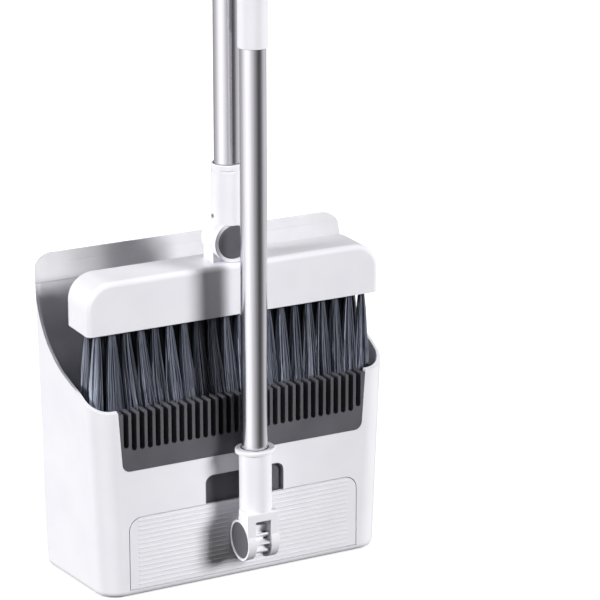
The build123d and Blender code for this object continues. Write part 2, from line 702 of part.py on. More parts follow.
PLATE_THICK = 4.0  # bristle plate
PLATE_SETBACK = 0.8  # the plate sits this far inside the block's underside
CROSS_RIBS = 5
CROSS_RIB_PITCH = 52.0
BOSS_R = 4.5
POST_WIDTH = 30.4
REAR_CAP_R = 12.5
REAR_CAP_SEAT = 2.0
TILT_BOLT_SEAT = 5.2
block_mid_y = (BLOCK_FRONT + BLOCK_BACK) / 2

with BuildPart() as broom_block:
    with BuildSketch(front_face(BLOCK_FRONT)) as face:
        with Locations((0, BLOCK_Z)):
            Rectangle(2 * BLOCK_HALF, BLOCK_TOP - BLOCK_Z, align=(Align.CENTER, Align.MIN))
        fillet(face.vertices().group_by(Axis.Y)[-1], BLOCK_CORNER)
    extrude(amount=BLOCK_FRONT - BLOCK_BACK)
    long_faces = broom_block.faces().filter_by(Axis.Y)
    rims = long_faces.edges().filter_by(lambda e: e.center().Z > BLOCK_Z + 1)
    fillet(rims, BLOCK_EDGE)
    # Hollow underside.
    with BuildSketch(front_face(BLOCK_FRONT + BLOCK_WALL)) as hollow:
        with Locations((0, BLOCK_Z - 1)):
            Rectangle(
                2 * (BLOCK_HALF - BLOCK_WALL),
                BLOCK_TOP - BLOCK_Z - BLOCK_WALL + 1,
                align=(Align.CENTER, Align.MIN),
            )
        fillet(hollow.vertices().group_by(Axis.Y)[-1], BLOCK_CORNER - BLOCK_WALL)
    extrude(amount=BLOCK_FRONT - BLOCK_BACK + 2 * BLOCK_WALL, mode=Mode.SUBTRACT)
    # Cross ribs and the screw bosses above the bristle plate.
    with BuildSketch(Plane((0, block_mid_y, BLOCK_Z + PLATE_SETBACK + PLATE_THICK + 0.1))):
        with GridLocations(CROSS_RIB_PITCH, 1, CROSS_RIBS, 1):
            Rectangle(2, BLOCK_BACK - BLOCK_FRONT - 2)
        with Locations((-PLATE_SCREW_X, 0), (PLATE_SCREW_X, 0)):
            Circle(BOSS_R)
    extrude(amount=BLOCK_TOP - BLOCK_Z - PLATE_THICK - 2.5)
    # Post and tilt ear.
    ear_depth = TILT_EAR_BACK - TILT_EAR_FRONT
    ear_plane = Plane((0, TILT_EAR_BACK, TILT_Z), x_dir=(1, 0, 0), z_dir=(0, -1, 0))
    with BuildSketch(ear_plane):
        Circle(TILT_EAR_R)
        Rectangle(POST_WIDTH, TILT_Z - BLOCK_TOP + 2, align=(Align.CENTER, Align.MAX))
    extrude(amount=ear_depth)
    # Bore for the tilt bolt and the seat of its head, with the rear cap's recess.
    with BuildSketch(ear_plane):
        Circle(REAR_CAP_R + SLIP)
    extrude(amount=REAR_CAP_SEAT, mode=Mode.SUBTRACT)
    with BuildSketch(ear_plane):
        Circle(HEX_WELL_R)
    extrude(amount=TILT_BOLT_SEAT, mode=Mode.SUBTRACT)
    with BuildSketch(ear_plane):
        Circle(BOLT_D / 2 + PRESS)
    extrude(amount=ear_depth + 1, mode=Mode.SUBTRACT)
    # Screw holes in the bosses.
    with BuildSketch(Plane((0, block_mid_y, BLOCK_Z))):
        with Locations((-PLATE_SCREW_X, 0), (PLATE_SCREW_X, 0)):
            Circle(SCREW_D / 2 + SLIP)
    extrude(amount=20, mode=Mode.SUBTRACT)
broom_block.part.label = "broom_block"
export_step(broom_block.part, "parts/broom_block.step")

with BuildPart() as bristle_plate:
    with BuildSketch(Plane((0, block_mid_y, BLOCK_Z + PLATE_SETBACK))):
        Rectangle(
            2 * (BLOCK_HALF - BLOCK_WALL) - 0.3,
            BLOCK_BACK - BLOCK_FRONT - 2 * BLOCK_WALL - 0.3,
        )
        with Locations((-PLATE_SCREW_X, 0), (PLATE_SCREW_X, 0)):
            Circle(SCREW_D / 2 + 0.1, mode=Mode.SUBTRACT)
    extrude(amount=PLATE_THICK)
bristle_plate.part.label = "bristle_plate"
export_step(bristle_plate.part, "parts/bristle_plate.step")

with BuildPart() as plate_screws:
    for x in (-PLATE_SCREW_X, PLATE_SCREW_X):
        seat = (x, block_mid_y, BLOCK_Z + PLATE_SETBACK - SLIP)
        add(screw(seat, (0, 0, 1), (1, 0, 0), SCREW_D, 16, 6, 1.8).part)
plate_screws.part.label = "plate_screws"
export_step(plate_screws.part, "parts/plate_screws.step")

# Envelope of all the tufts: it flares from the plate to the tips.
ROOT_HALF = 128.5
ROOT_DEPTH = 33.0
TIP_HALF = 130.0
TIP_DEPTH = 36.0
TIP_FORWARD = 1.2  # the tips stand this far in front of the roots
TUFT_CORNER = 6.0

with BuildPart() as bristles:
    with BuildSketch(Plane((0, block_mid_y - TIP_FORWARD, BRISTLE_TIP_Z))) as tips:
        Rectangle(2 * TIP_HALF, TIP_DEPTH)
        fillet(tips.vertices(), TUFT_CORNER)
    with BuildSketch(Plane((0, block_mid_y, BLOCK_Z + PLATE_SETBACK - 0.1))) as roots:
        Rectangle(2 * ROOT_HALF, ROOT_DEPTH)
        fillet(roots.vertices(), TUFT_CORNER)
    loft()
    # Room for the two plate screws.
    with BuildSketch(Plane((0, block_mid_y, BLOCK_Z - 4))):
        with Locations((-PLATE_SCREW_X, 0), (PLATE_SCREW_X, 0)):
            Circle(4)
    extrude(amount=6, mode=Mode.SUBTRACT)
bristles.part.label = "bristles"
export_step(bristles.part, "parts/bristles.step")

# ---- tilt joint ----------------------------------------------------------------------------------

with BuildPart() as tilt_bolt:
    bolt_seat_y = TILT_EAR_BACK - TILT_BOLT_SEAT
    bolt_plane = Plane((0, bolt_seat_y, TILT_Z), x_dir=(1, 0, 0), z_dir=(0, -1, 0))
    with BuildSketch(bolt_plane):
        Circle(BOLT_D / 2)
    extrude(amount=bolt_seat_y - DRUM_FRONT - 2.4)
    with BuildSketch(bolt_plane):
        RegularPolygon(HEX_HALF, 6, major_radius=False)
    extrude(amount=-HEX_HEAD)
tilt_bolt.part.label = "tilt_bolt"
export_step(tilt_bolt.part, "parts/tilt_bolt.step")

DRUM_CAP_SEAT = 1.8
DRUM_CAP_R = 14.2
DRUM_WELL = 6.0  # depth of the well for the nut, from the front face

with BuildPart() as tilt_nut:
    nut_plane = Plane((0, DRUM_FRONT + 2.3, TILT_Z), x_dir=(1, 0, 0), z_dir=(0, 1, 0))
    with BuildSketch(nut_plane):
        RegularPolygon(HEX_HALF, 6, major_radius=False)
        Circle(BOLT_D / 2 + PRESS, mode=Mode.SUBTRACT)
    extrude(amount=HEX_NUT)
tilt_nut.part.label = "tilt_nut"
export_step(tilt_nut.part, "parts/tilt_nut.step")

with BuildPart() as spring_washer:
    # Dished ring between the nut and the floor of the well.
    with BuildSketch(Plane((0, 0, TILT_Z))):
        with BuildLine():
            Polyline(
                (3.1, DRUM_FRONT + 4.95),
                (5.6, DRUM_FRONT + 5.35),
                (5.6, DRUM_FRONT + 5.95),
                (3.1, DRUM_FRONT + 5.55),
                close=True,
            )
        make_face()
    revolve(axis=Axis((0, 0, TILT_Z), (0, 1, 0)))
spring_washer.part.label = "spring_washer"
export_step(spring_washer.part, "parts/spring_washer.step")

rear_cap_seat = (0, TILT_EAR_BACK - REAR_CAP_SEAT + SLIP, TILT_Z)
tilt_cap_rear = disc((1, 0, 0), (0, 1, 0), rear_cap_seat, REAR_CAP_R, 0, 1.8, 0.7)
tilt_cap_rear.part.label = "tilt_cap_rear"
export_step(tilt_cap_rear.part, "parts/tilt_cap_rear.step")

SOCKET_BOTTOM = TILT_Z + TILT_EAR_R + 1.2
SOCKET_BORE_Z = SOCKET_BOTTOM + 3.0
NECK_RISE = 14.6  # start of the neck above the tilt axis
GROOVE_DROP = 6.2  # parting groove, below the socket's top
GROOVE_WIDE = 1.5
GROOVE_DEEP = 1.0

with BuildPart() as tilt_socket:
    drum_plane = Plane((0, DRUM_BACK, TILT_Z), x_dir=(1, 0, 0), z_dir=(0, -1, 0))
    with BuildSketch(drum_plane):
        Circle(DRUM_R)
    extrude(amount=DRUM_BACK - DRUM_FRONT)
    # Neck: the front of the round socket runs down onto the drum.
    with BuildSketch(Plane((0, BROOM_Y, TILT_Z + NECK_RISE))):
        Circle(SOCKET_R)
        with Locations((0, DRUM_BACK - BROOM_Y)):
            Rectangle(40, 40, align=(Align.CENTER, Align.MIN), mode=Mode.SUBTRACT)
    extrude(amount=SOCKET_BOTTOM - TILT_Z - NECK_RISE)
    with BuildSketch(Plane((0, BROOM_Y, SOCKET_BOTTOM))):
        Circle(SOCKET_R)
    extrude(amount=BROOM_SOCKET_TOP - SOCKET_BOTTOM)
    fillet(tilt_socket.faces().sort_by(Axis.Z)[-1].edges(), 1)
    # Parting groove under the flange.
    with BuildSketch(Plane((0, BROOM_Y, BROOM_SOCKET_TOP - GROOVE_DROP))):
        Circle(SOCKET_R + 1)
        Circle(SOCKET_R - GROOVE_DEEP, mode=Mode.SUBTRACT)
    extrude(amount=GROOVE_WIDE, mode=Mode.SUBTRACT)
    with BuildSketch(Plane((0, BROOM_Y, SOCKET_BORE_Z))):
        Circle(POLE_D / 2 + SLIP)
    extrude(amount=80, mode=Mode.SUBTRACT)
    with BuildSketch(Plane((0, BROOM_Y, BROOM_SOCKET_TOP - MOUTH_DEEP))):
        Circle(POLE_D / 2 + MOUTH_GAP)
    extrude(amount=MOUTH_DEEP + 1, mode=Mode.SUBTRACT)
    # Cap seat, nut well and bolt hole, from the front.
    front_plane = Plane((0, DRUM_FRONT, TILT_Z), x_dir=(1, 0, 0), z_dir=(0, 1, 0))
    with BuildSketch(front_plane):
        Circle(DRUM_CAP_R + SLIP)
    extrude(amount=DRUM_CAP_SEAT, mode=Mode.SUBTRACT)
    with BuildSketch(front_plane):
        Circle(6.6)
    extrude(amount=DRUM_WELL, mode=Mode.SUBTRACT)
    with BuildSketch(front_plane):
        Circle(BOLT_D / 2 + SLIP)
    extrude(amount=20, mode=Mode.SUBTRACT)
    # Hole for the pole screw, on the left.
    with BuildSketch(side_face(-30, BROOM_Y, SOCKET_SCREW_Z)):
        Circle(SOCKET_SCREW_D / 2 + SLIP)
    extrude(amount=30, mode=Mode.SUBTRACT)
tilt_socket.part.label = "tilt_socket"
export_step(tilt_socket.part, "parts/tilt_socket.step")

cap_seat = (0, DRUM_FRONT + DRUM_CAP_SEAT - SLIP, TILT_Z)
tilt_cap_front = disc((1, 0, 0), (0, -1, 0), cap_seat, DRUM_CAP_R, 0, 2.6, 2.0)
tilt_cap_front.part.label = "tilt_cap_front"
export_step(tilt_cap_front.part, "parts/tilt_cap_front.step")

with BuildPart() as socket_screw:
    centre = (-SOCKET_R - SLIP, BROOM_Y, SOCKET_SCREW_Z)
    add(screw(centre, (1, 0, 0), (0, 1, 0), SOCKET_SCREW_D, 6, 3.4, 0.8).part)
socket_screw.part.label = "socket_screw"
export_step(socket_screw.part, "parts/socket_screw.step")

# ---- broom pole -------------------------------------------------------------------------------------

broom_joint_z = sum(BROOM_COUPLER) / 2

with BuildPart() as broom_pole_lower:
    add(tube(SOCKET_BORE_Z + 0.1, broom_joint_z - 0.1, BROOM_Y, POLE_D, POLE_WALL).part)
    with BuildSketch(side_face(-30, BROOM_Y, SOCKET_SCREW_Z)):
        Circle(SOCKET_SCREW_D / 2 + SLIP)
    extrude(amount=30, mode=Mode.SUBTRACT)
broom_pole_lower.part.label = "broom_pole_lower"
export_step(broom_pole_lower.part, "parts/broom_pole_lower.step")

broom_coupler = coupler_sleeve(BROOM_COUPLER, BROOM_Y)
broom_coupler.part.label = "broom_coupler"
export_step(broom_coupler.part, "parts/broom_coupler.step")

OUTER_TOP = COLLAR[0] + 11
broom_pole_upper = tube(broom_joint_z + 0.1, OUTER_TOP, BROOM_Y, POLE_D, POLE_WALL)
broom_pole_upper.part.label = "broom_pole_upper"
export_step(broom_pole_upper.part, "parts/broom_pole_upper.step")

FLUTES = 24

with BuildPart() as lock_collar:
    with BuildSketch(Plane((0, BROOM_Y, COLLAR[0]))):
        Circle(SOCKET_R)
    extrude(amount=COLLAR[1] - COLLAR[0])
    fillet(lock_collar.edges().filter_by(GeomType.CIRCLE), 1.2)
    # Finger flutes round the middle.
    with BuildSketch(Plane((0, BROOM_Y, COLLAR[0] + 4))):
        with PolarLocations(SOCKET_R + 0.5, FLUTES):
            Circle(1.0)
    extrude(amount=COLLAR[1] - COLLAR[0] - 8, mode=Mode.SUBTRACT)
    with BuildSketch(Plane((0, BROOM_Y, COLLAR[0] - 1))):
        Circle(POLE_D / 2 + SLIP)
    extrude(amount=OUTER_TOP - COLLAR[0] + 1.3, mode=Mode.SUBTRACT)
    with BuildSketch(Plane((0, BROOM_Y, COLLAR[0] - 1))):
        Circle(INNER_D / 2 + 0.08)
    extrude(amount=60, mode=Mode.SUBTRACT)
lock_collar.part.label = "lock_collar"
export_step(lock_collar.part, "parts/lock_collar.step")

INNER_BOTTOM = 560.0
INNER_TOP = 1045.0
broom_inner_tube = tube(INNER_BOTTOM, INNER_TOP, BROOM_Y, INNER_D, POLE_WALL)
broom_inner_tube.part.label = "broom_inner_tube"
export_step(broom_inner_tube.part, "parts/broom_inner_tube.step")

with BuildPart() as expander_plug:
    with BuildSketch(Plane((0, BROOM_Y, INNER_BOTTOM - 20))):
        Circle(POLE_D / 2 - POLE_WALL - 0.1)
    extrude(amount=19.9)
    chamfer(expander_plug.edges().filter_by(GeomType.CIRCLE), 1.2)
    with BuildSketch(Plane((0, BROOM_Y, INNER_BOTTOM - 5))):
        Circle(INNER_D / 2 - POLE_WALL - SLIP)
    extrude(amount=20)
    with BuildSketch(Plane((0, BROOM_Y, INNER_BOTTOM - 30))):
        Circle(4)
    extrude(amount=60, mode=Mode.SUBTRACT)
expander_plug.part.label = "expander_plug"
export_step(expander_plug.part, "parts/expander_plug.step")

HOLE_HALF_W = 7.0
HOLE = (1136.0, 1160.0)
HOLE_CORNER = 3.0
LINER_HOLE = (7.0, 16.0)  # width and height of the hole itself
LINER_R = 12.95

with BuildPart() as broom_grip:
    # Slightly waisted sleeve with a domed top.
    with BuildSketch(front_face(BROOM_Y)):
        with BuildLine():
            foot = Line((0, BROOM_GRIP[0]), (11.2, BROOM_GRIP[0]))
            flank = Spline(
                foot @ 1,
                (12.3, BROOM_GRIP[0] + 24),
                (11.9, BROOM_GRIP[0] + 80),
                (12.8, BROOM_GRIP[1] - 14),
            )
            dome = Spline(
                flank @ 1,
                (11.4, BROOM_GRIP[1] - 4),
                (0, BROOM_GRIP[1]),
                tangents=(flank % 1, (-1, 0)),
            )
            Line(dome @ 1, foot @ 0)
        make_face()
    revolve(axis=Axis((0, BROOM_Y, 0), (0, 0, 1)))
    with BuildSketch(Plane((0, BROOM_Y, BROOM_GRIP[0] - 1))):
        Circle(INNER_D / 2 + PRESS)
    extrude(amount=INNER_TOP - BROOM_GRIP[0] + 1.2, mode=Mode.SUBTRACT)
    hole_mid = (HOLE[0] + HOLE[1]) / 2
    with BuildSketch(front_face(BROOM_Y + 30)):
        with Locations((0, hole_mid)):
            RectangleRounded(2 * HOLE_HALF_W, HOLE[1] - HOLE[0], HOLE_CORNER)
    extrude(amount=60, mode=Mode.SUBTRACT)
broom_grip.part.label = "broom_grip"
export_step(broom_grip.part, "parts/broom_grip.step")

with BuildPart() as hang_liner:
    # Dark frame of the hanging hole, dressed flush with the round grip.
    with BuildSketch(front_face(BROOM_Y + 20)):
        with Locations((0, hole_mid)):
            RectangleRounded(2 * (HOLE_HALF_W - SLIP), HOLE[1] - HOLE[0] - 2 * SLIP, HOLE_CORNER)
            SlotOverall(LINER_HOLE[1], LINER_HOLE[0], rotation=90, mode=Mode.SUBTRACT)
    extrude(amount=40)
    with BuildSketch(Plane((0, BROOM_Y, HOLE[0] - 1))):
        Circle(LINER_R)
    extrude(amount=HOLE[1] - HOLE[0] + 2, mode=Mode.INTERSECT)
hang_liner.part.label = "hang_liner"
export_step(hang_liner.part, "parts/hang_liner.step")
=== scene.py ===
"""Looks for the dustpan and broom set: materials, bristle tufts, camera and studio light.

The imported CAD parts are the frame.  Lengths are metres in the CAD's own axes.
"""

import json
import math
import random

import bpy
import numpy as np
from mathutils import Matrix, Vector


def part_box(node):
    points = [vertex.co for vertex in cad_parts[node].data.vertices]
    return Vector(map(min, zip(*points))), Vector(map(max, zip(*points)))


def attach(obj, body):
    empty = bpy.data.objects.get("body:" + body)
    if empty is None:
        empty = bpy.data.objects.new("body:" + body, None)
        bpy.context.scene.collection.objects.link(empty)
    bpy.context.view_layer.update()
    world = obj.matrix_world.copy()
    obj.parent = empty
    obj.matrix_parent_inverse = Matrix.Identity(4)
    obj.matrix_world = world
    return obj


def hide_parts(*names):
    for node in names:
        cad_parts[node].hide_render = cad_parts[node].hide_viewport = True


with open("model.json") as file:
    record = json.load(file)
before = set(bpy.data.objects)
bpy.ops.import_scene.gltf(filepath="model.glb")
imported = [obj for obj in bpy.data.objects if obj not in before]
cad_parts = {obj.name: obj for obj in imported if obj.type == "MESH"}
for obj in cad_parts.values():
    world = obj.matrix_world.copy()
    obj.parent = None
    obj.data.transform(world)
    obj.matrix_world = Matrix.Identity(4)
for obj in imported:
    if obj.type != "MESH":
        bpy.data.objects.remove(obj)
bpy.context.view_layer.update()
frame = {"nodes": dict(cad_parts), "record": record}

MM = 0.001
scene = bpy.context.scene
chance = random.Random(12)


# ---- materials ---------------------------------------------------------------------------


def new_material(name):
    """Empty material with a Principled surface: returns (material, nodes, links, surface)."""
    material = bpy.data.materials.new(name)
    material.use_nodes = True
    nodes = material.node_tree.nodes
    links = material.node_tree.links
    return material, nodes, links, nodes["Principled BSDF"]


def noise_node(nodes, links, place, scale, detail, stretch=(1, 1, 1)):
    """Noise texture in the part's own metres, optionally stretched along an axis."""
    mapping = nodes.new("ShaderNodeMapping")
    mapping.inputs["Scale"].default_value = stretch
    links.new(place.outputs["Object"], mapping.inputs["Vector"])
    noise = nodes.new("ShaderNodeTexNoise")
    noise.inputs["Scale"].default_value = scale
    noise.inputs["Detail"].default_value = detail
    links.new(mapping.outputs["Vector"], noise.inputs["Vector"])
    return noise


def ramp_node(nodes, links, source, stops):
    """Colour ramp over a 0 to 1 value; stops are (position, colour)."""
    ramp = nodes.new("ShaderNodeValToRGB")
    elements = ramp.color_ramp.elements
    while len(elements) < len(stops):
        elements.new(0.5)
    for element, (position, colour) in zip(elements, stops):
        element.position = position
        element.color = (*colour, 1)
    links.new(source, ramp.inputs["Fac"])
    return ramp


def range_node(nodes, links, source, low, high):
    """Maps a 0.3 to 0.7 noise value to low..high."""
    spread = nodes.new("ShaderNodeMapRange")
    spread.inputs["From Min"].default_value = 0.3
    spread.inputs["From Max"].default_value = 0.7
    spread.inputs["To Min"].default_value = low
    spread.inputs["To Max"].default_value = high
    links.new(source, spread.inputs["Value"])
    return spread


def edge_rounding(nodes, radius):
    """Normals that round off the sharp edges of the CAD faces."""
    bevel = nodes.new("ShaderNodeBevel")
    bevel.samples = 4
    bevel.inputs["Radius"].default_value = radius
    return bevel


def bump_node(nodes, links, height, distance, strength, base=None):
    """Fine relief from a height value, on top of the base normal where one is given."""
    bump = nodes.new("ShaderNodeBump")
    bump.inputs["Distance"].default_value = distance
    bump.inputs["Strength"].default_value = strength
    links.new(height, bump.inputs["Height"])
    if base is not None:
        links.new(base.outputs["Normal"], bump.inputs["Normal"])
    return bump


def worn_edges(nodes, links, tint, rounding, scuffs, worn):
    """Blends the tint towards the worn colour where the rounded normal leaves the face's own."""
    geometry = nodes.new("ShaderNodeNewGeometry")
    agree = nodes.new("ShaderNodeVectorMath")
    agree.operation = "DOT_PRODUCT"
    links.new(rounding.outputs["Normal"], agree.inputs[0])
    links.new(geometry.outputs["True Normal"], agree.inputs[1])
    edge = nodes.new("ShaderNodeMapRange")
    edge.inputs["From Min"].default_value = 0.995
    edge.inputs["From Max"].default_value = 0.90
    edge.inputs["To Min"].default_value = 0.0
    edge.inputs["To Max"].default_value = 0.6
    links.new(agree.outputs["Value"], edge.inputs["Value"])
    patchy = nodes.new("ShaderNodeMath")
    patchy.operation = "MULTIPLY"
    links.new(edge.outputs["Result"], patchy.inputs[0])
    links.new(scuffs.outputs["Fac"], patchy.inputs[1])
    blend = nodes.new("ShaderNodeMix")
    blend.data_type = "RGBA"
    links.new(patchy.outputs["Value"], blend.inputs["Factor"])
    links.new(tint.outputs["Color"], blend.inputs[6])
    blend.inputs[7].default_value = (*worn, 1)
    return blend.outputs[2]


def moulded_plastic(name, light, dark, worn, rough, grain_mm, grain, edge_mm, shine, coat=0.0):
    """Moulded plastic: slight mottling, uneven gloss, a fine grain and rubbed, rounded edges."""
    material, nodes, links, surface = new_material(name)
    place = nodes.new("ShaderNodeTexCoord")
    mottle = noise_node(nodes, links, place, 26.0, 5.0)
    tint = ramp_node(nodes, links, mottle.outputs["Fac"], [(0.3, dark), (0.7, light)])
    gloss = noise_node(nodes, links, place, 60.0, 6.0)
    spread = range_node(nodes, links, gloss.outputs["Fac"], rough - 0.06, rough + 0.06)
    links.new(spread.outputs["Result"], surface.inputs["Roughness"])
    fine = noise_node(nodes, links, place, 1.0 / (grain_mm * MM), 2.0)
    rounding = edge_rounding(nodes, edge_mm * MM)
    colour = worn_edges(nodes, links, tint, rounding, gloss, worn)
    links.new(colour, surface.inputs["Base Color"])
    bump = bump_node(nodes, links, fine.outputs["Fac"], 0.05 * MM, grain, rounding)
    links.new(bump.outputs["Normal"], surface.inputs["Normal"])
    surface.inputs["Specular IOR Level"].default_value = shine
    surface.inputs["Coat Weight"].default_value = coat
    surface.inputs["Coat Roughness"].default_value = 0.12
    surface.inputs["IOR"].default_value = 1.46
    return material


def drawn_steel(name, light, dark, rough, edge_mm, lengthwise):
    """Steel with fine lines along the tube, or an all-round satin for small screws."""
    material, nodes, links, surface = new_material(name)
    surface.inputs["Metallic"].default_value = 1.0
    place = nodes.new("ShaderNodeTexCoord")
    stretch = (1, 1, 0.01) if lengthwise else (1, 1, 1)
    lines = noise_node(nodes, links, place, 900.0, 3.0, stretch)
    tint = ramp_node(nodes, links, lines.outputs["Fac"], [(0.3, dark), (0.7, light)])
    links.new(tint.outputs["Color"], surface.inputs["Base Color"])
    smears = noise_node(nodes, links, place, 18.0, 5.0)
    spread = range_node(nodes, links, smears.outputs["Fac"], rough - 0.04, rough + 0.04)
    links.new(spread.outputs["Result"], surface.inputs["Roughness"])
    rounding = edge_rounding(nodes, edge_mm * MM)
    bump = bump_node(nodes, links, lines.outputs["Fac"], 0.01 * MM, 0.25, rounding)
    links.new(bump.outputs["Normal"], surface.inputs["Normal"])
    return material


def soft_rubber(name, light, dark, rough, edge_mm):
    """Soft moulded skin with a fine pebble grain."""
    material, nodes, links, surface = new_material(name)
    place = nodes.new("ShaderNodeTexCoord")
    mottle = noise_node(nodes, links, place, 40.0, 5.0)
    tint = ramp_node(nodes, links, mottle.outputs["Fac"], [(0.3, dark), (0.7, light)])
    links.new(tint.outputs["Color"], surface.inputs["Base Color"])
    spread = range_node(nodes, links, mottle.outputs["Fac"], rough - 0.08, rough + 0.08)
    links.new(spread.outputs["Result"], surface.inputs["Roughness"])
    pebbles = nodes.new("ShaderNodeTexVoronoi")
    pebbles.inputs["Scale"].default_value = 1400.0
    links.new(place.outputs["Object"], pebbles.inputs["Vector"])
    rounding = edge_rounding(nodes, edge_mm * MM)
    bump = bump_node(nodes, links, pebbles.outputs["Distance"], 0.08 * MM, 0.35, rounding)
    links.new(bump.outputs["Normal"], surface.inputs["Normal"])
    return material


def filament_nylon(name):
    """Bristle filaments: a value held in the mesh gives each its random blue-black tone, with painted
    shade and painted light on top.
    """
    material, nodes, links, surface = new_material(name)
    tone_and_painted_shade = nodes.new("ShaderNodeAttribute")
    tone_and_painted_shade.attribute_name = "tone_and_painted_shade"
    shades = [(0.0, (0.018, 0.020, 0.027)), (0.5, (0.23, 0.25, 0.31)), (1.0, (0.66, 0.71, 0.84))]
    tint = ramp_node(nodes, links, tone_and_painted_shade.outputs["Fac"], shades)
    links.new(tint.outputs["Color"], surface.inputs["Base Color"])
    place = nodes.new("ShaderNodeTexCoord")
    scuff = noise_node(nodes, links, place, 300.0, 3.0, (1, 1, 0.1))
    spread = range_node(nodes, links, scuff.outputs["Fac"], 0.34, 0.52)
    links.new(spread.outputs["Result"], surface.inputs["Roughness"])
    bump = bump_node(nodes, links, scuff.outputs["Fac"], 0.02 * MM, 0.3)
    links.new(bump.outputs["Normal"], surface.inputs["Normal"])
    return material


finishes = {
    "white_plastic": moulded_plastic(
        "white_plastic",
        light=(0.84, 0.835, 0.875),
        dark=(0.80, 0.795, 0.84),
        worn=(0.72, 0.72, 0.73),
        rough=0.34,
        grain_mm=0.35,
        grain=0.10,
        edge_mm=0.5,
        shine=0.5,
        coat=0.15,
    ),
    "grey_plastic": moulded_plastic(
        "grey_plastic",
        light=(0.125, 0.125, 0.14),
        dark=(0.095, 0.095, 0.107),
        worn=(0.22, 0.22, 0.23),
        rough=0.46,
        grain_mm=0.3,
        grain=0.35,
        edge_mm=0.35,
        shine=0.25,
    ),
    "lip_soft": soft_rubber("lip_soft", (0.74, 0.74, 0.77), (0.68, 0.68, 0.71), 0.40, 0.8),
    "tube_steel": drawn_steel("tube_steel", (0.86, 0.845, 0.895), (0.78, 0.765, 0.815), 0.22, 0.2, True),
    "screw_steel": drawn_steel("screw_steel", (0.62, 0.62, 0.63), (0.50, 0.50, 0.51), 0.34, 0.2, False),
    "soft_pad": soft_rubber("soft_pad", (0.060, 0.060, 0.066), (0.040, 0.040, 0.045), 0.55, 0.6),
    "bristle_nylon": filament_nylon("bristle_nylon"),
}

slot_of = {row["node"]: row["material_slot"] for row in frame["record"]["subparts"]}
for name, node in frame["nodes"].items():
    node.data.materials.clear()
    node.data.materials.append(finishes[slot_of[name]])


# ---- bristle tufts -----------------------------------------------------------------------

ROWS = 4
TUFTS = 20  # in the front row; every other row has one fewer
ROW_PITCH = 8.5 * MM
ROW_HALF = 0.1225  # half the length of a full row, between the outer tufts' middles
SHORT_ROW_INSET = 0.006
FRONT_COUNT = 100  # filaments in a tuft of the front row
HIDDEN_COUNT = 47
ROOT_Z = 0.2275
TIP_Z = 0.1312
ROOT_R = 2.3 * MM  # radius of a tuft at the plate and at the tips
TIP_R = 8.4 * MM
SKIN = 0.4 * MM  # filaments stay this far inside the CAD bristles
SIDES = 3
TURN = 0.7  # turn of a filament's corners, radians
STEPS = 6

block_low, block_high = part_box("broom_block")
brush_low, brush_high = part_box("bristles")
brush_mid_y = (block_low.y + block_high.y) / 2


def filament(points, radius, tone_and_painted_shade, made):
    """Adds one thin filament through the points to the lists in made; painted shade darkens its root,
    under the block, and less so its tip.
    """
    corners, faces, shades = made
    first = len(corners)
    for step, point in enumerate(points):
        share = step / (len(points) - 1)
        r = radius * (1 - 0.45 * share)
        for side in range(SIDES):
            a = 2 * math.pi * side / SIDES + TURN
            corners.append((point[0] + r * math.cos(a), point[1] + r * math.sin(a), point[2]))
            # painted shade: darkest at the root under the block, full tone part way down, darker again
            # towards the tip by the comb
            shades.append(tone_and_painted_shade * (0.25 + 0.75 * math.sin(math.pi * (0.08 + 0.74 * share))))
    for step in range(len(points) - 1):
        for side in range(SIDES):
            a = first + step * SIDES + side
            b = first + step * SIDES + (side + 1) % SIDES
            faces.append((a, b, b + SIDES, a + SIDES))
    faces.append(tuple(first + side for side in reversed(range(SIDES))))
    last = first + (len(points) - 1) * SIDES
    faces.append(tuple(last + side for side in range(SIDES)))


def tuft(root_x, root_y, lean_x, lean_y, count, made):
    """One tuft: tight at the plate, opening downwards to uneven, slightly wavy tips."""
    tone = chance.uniform(0.45, 0.70)
    for _ in range(count):
        angle = chance.uniform(0, 2 * math.pi)
        reach = math.sqrt(chance.random())
        root_r = ROOT_R * reach
        tip_r = TIP_R * reach * chance.uniform(0.8, 1.1)
        tip_z = TIP_Z + abs(chance.gauss(0, 1.6 * MM))
        sway = chance.gauss(0, 0.9 * MM)
        curl = chance.uniform(-1.2, 1.2) * MM
        points = []
        for step in range(STEPS + 1):
            s = step / STEPS
            open_s = s**0.7
            r = root_r + (tip_r - root_r) * open_s
            x = root_x + r * math.cos(angle) + lean_x * s**1.5 + sway * s * s
            y = root_y + r * math.sin(angle) + lean_y * s**1.5
            x += curl * math.sin(3.0 * s * math.pi) * s
            x = min(max(x, brush_low.x + SKIN), brush_high.x - SKIN)
            y = min(max(y, brush_low.y + SKIN), brush_high.y - SKIN)
            points.append((x, y, ROOT_Z + (tip_z - ROOT_Z) * s))
        # painted light: one side of each tuft is lighter and the other darker, as though lit from that
        # side; tone is the tuft's random shade
        painted_light_side = reach * math.cos(angle + 0.5)
        tone_and_painted_shade = min(max(tone - 0.30 * painted_light_side + chance.gauss(0, 0.10), 0), 1)
        filament(points, chance.uniform(0.42, 0.62) * MM, tone_and_painted_shade, made)


made = ([], [], [])
for row in range(ROWS):
    tufts = TUFTS - row % 2
    from_middle = row - (ROWS - 1) / 2
    half = ROW_HALF - (SHORT_ROW_INSET if row % 2 else 0)
    count = FRONT_COUNT if row == 0 else HIDDEN_COUNT
    row_y = brush_mid_y + from_middle * ROW_PITCH
    for number in range(tufts):
        share = 2 * number / (tufts - 1) - 1
        # Tips lean to the right, less so further right; the two leftmost tufts are drawn back left.
        lean_x = (6.5 - 5.5 * share) * MM + chance.gauss(0, 0.8 * MM)
        if number < 2:
            lean_x += (7.0 * number - 16.0) * MM
        lean_y = 1.4 * MM * from_middle + chance.gauss(0, 0.8 * MM)
        tuft(half * share, row_y, lean_x, lean_y, count, made)

